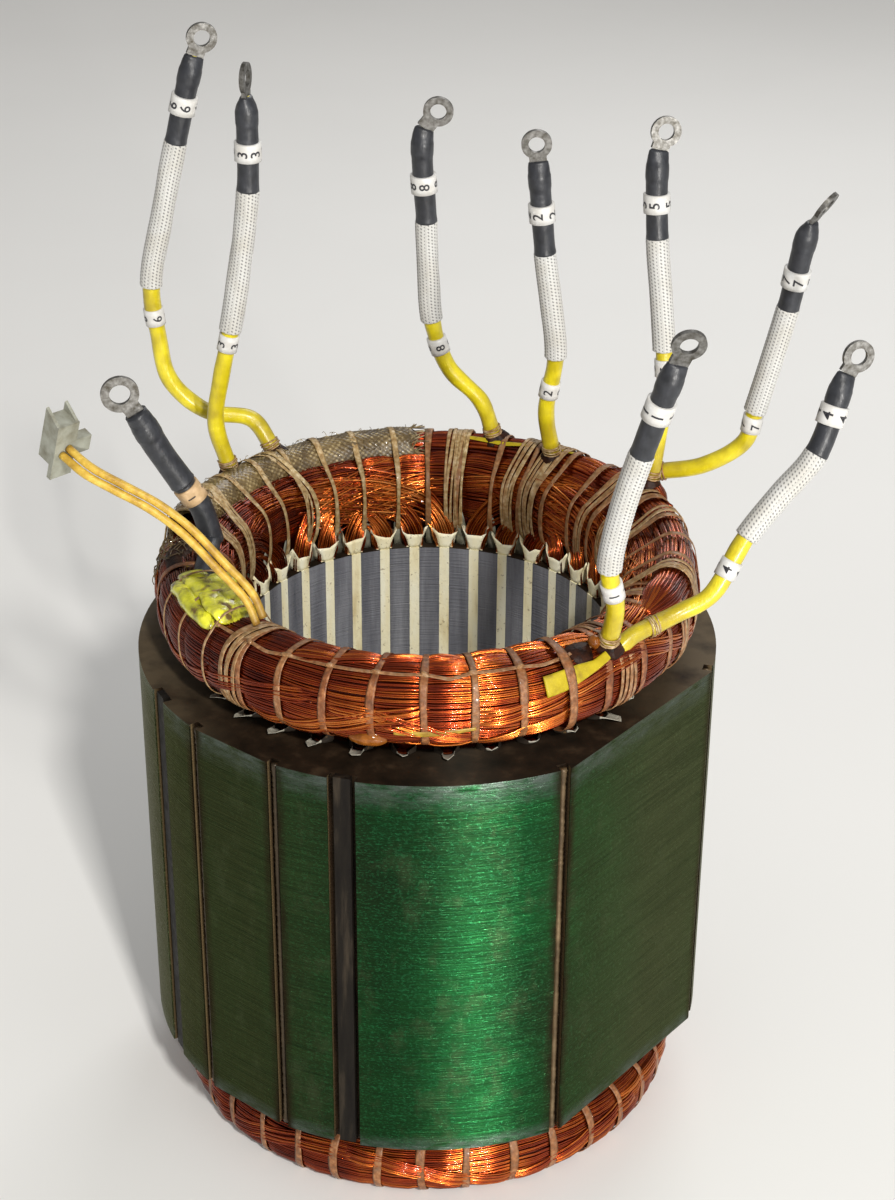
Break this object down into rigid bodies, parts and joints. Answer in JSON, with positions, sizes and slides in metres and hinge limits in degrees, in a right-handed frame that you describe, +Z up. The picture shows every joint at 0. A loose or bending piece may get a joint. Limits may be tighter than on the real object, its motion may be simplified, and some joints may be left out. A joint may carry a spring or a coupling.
{
  "type": "generator stator",
  "caption": "Wound stator: laminated green core with flats, laced copper end windings at both ends and ring-lugged leads rising from the upper one.",
  "frame": {"origin": "on the bore axis at floor level, where the lower end winding stands", "axes": "+Z up along the bore axis; -Y is the front, where the two leads nearest the viewer leave at its right; +X is right seen from the front"},
  "size_m": [0.3971, 0.3, 0.5609],
  "materials": {
    "green_enamel": "gloss enamel over laminated steel",
    "bar_steel": "dark varnished steel",
    "weld_metal": "lumpy weld bead under clear varnish",
    "slot_paper": "varnish-soaked insulation paper",
    "wedge_strip": "pressed glass laminate strip",
    "enamelled_copper": "enamelled winding wire under varnish",
    "grey_tab": "insulation paper",
    "braid": "coarse woven glass sleeving",
    "joint_lacquer": "lacquered yellow-green sleeving",
    "yellow_sleeve": "flat varnished sleeving",
    "lacing_tape": "varnished polyester tape",
    "yellow_cable": "silicone cable sheath",
    "glass_sleeve": "woven glass sleeving",
    "tinned_lug": "bright tinned copper",
    "black_sleeve": "heat-shrunk sleeve",
    "marker": "printed marker sleeve",
    "black_cable": "rubber cable sheath",
    "sensor_wire": "thin yellow wire pair",
    "connector": "moulded two-way connector"
  },
  "bodies": {
    "root": {"core_stack": "green_enamel", "core_bars": "bar_steel", "weld_beads": "weld_metal", "slot_liners": "slot_paper", "slot_wedges": "wedge_strip", "slot_coils": "enamelled_copper", "coil_legs_top": "enamelled_copper", "coil_legs_bottom": "enamelled_copper", "end_winding_top": "enamelled_copper", "end_winding_bottom": "enamelled_copper", "connection_bundle": "enamelled_copper", "braided_sleeve": "braid", "joint_sleeve": "joint_lacquer", "flat_sleeve": "yellow_sleeve", "lacing_top": "lacing_tape", "lacing_bottom": "lacing_tape", "phase_tabs": "grey_tab", "lead_1": "yellow_cable", "glass_sleeve_1": "glass_sleeve", "lug_1": "tinned_lug", "lead_2": "yellow_cable", "glass_sleeve_2": "glass_sleeve", "lug_2": "tinned_lug", "lead_3": "yellow_cable", "glass_sleeve_3": "glass_sleeve", "lug_3": "tinned_lug", "lead_4": "yellow_cable", "glass_sleeve_4": "glass_sleeve", "lug_4": "tinned_lug", "lead_5": "yellow_cable", "glass_sleeve_5": "glass_sleeve", "lug_5": "tinned_lug", "lead_6": "yellow_cable", "glass_sleeve_6": "glass_sleeve", "lug_6": "tinned_lug", "lead_7": "yellow_cable", "glass_sleeve_7": "glass_sleeve", "lug_7": "tinned_lug", "lead_8": "yellow_cable", "glass_sleeve_8": "glass_sleeve", "lug_8": "tinned_lug", "end_sleeves": "black_sleeve", "number_markers": "marker", "black_lead": "black_cable", "black_lug": "tinned_lug", "sensor_wires": "sensor_wire", "sensor_connector": "connector"}
  },
  "joints": []
}
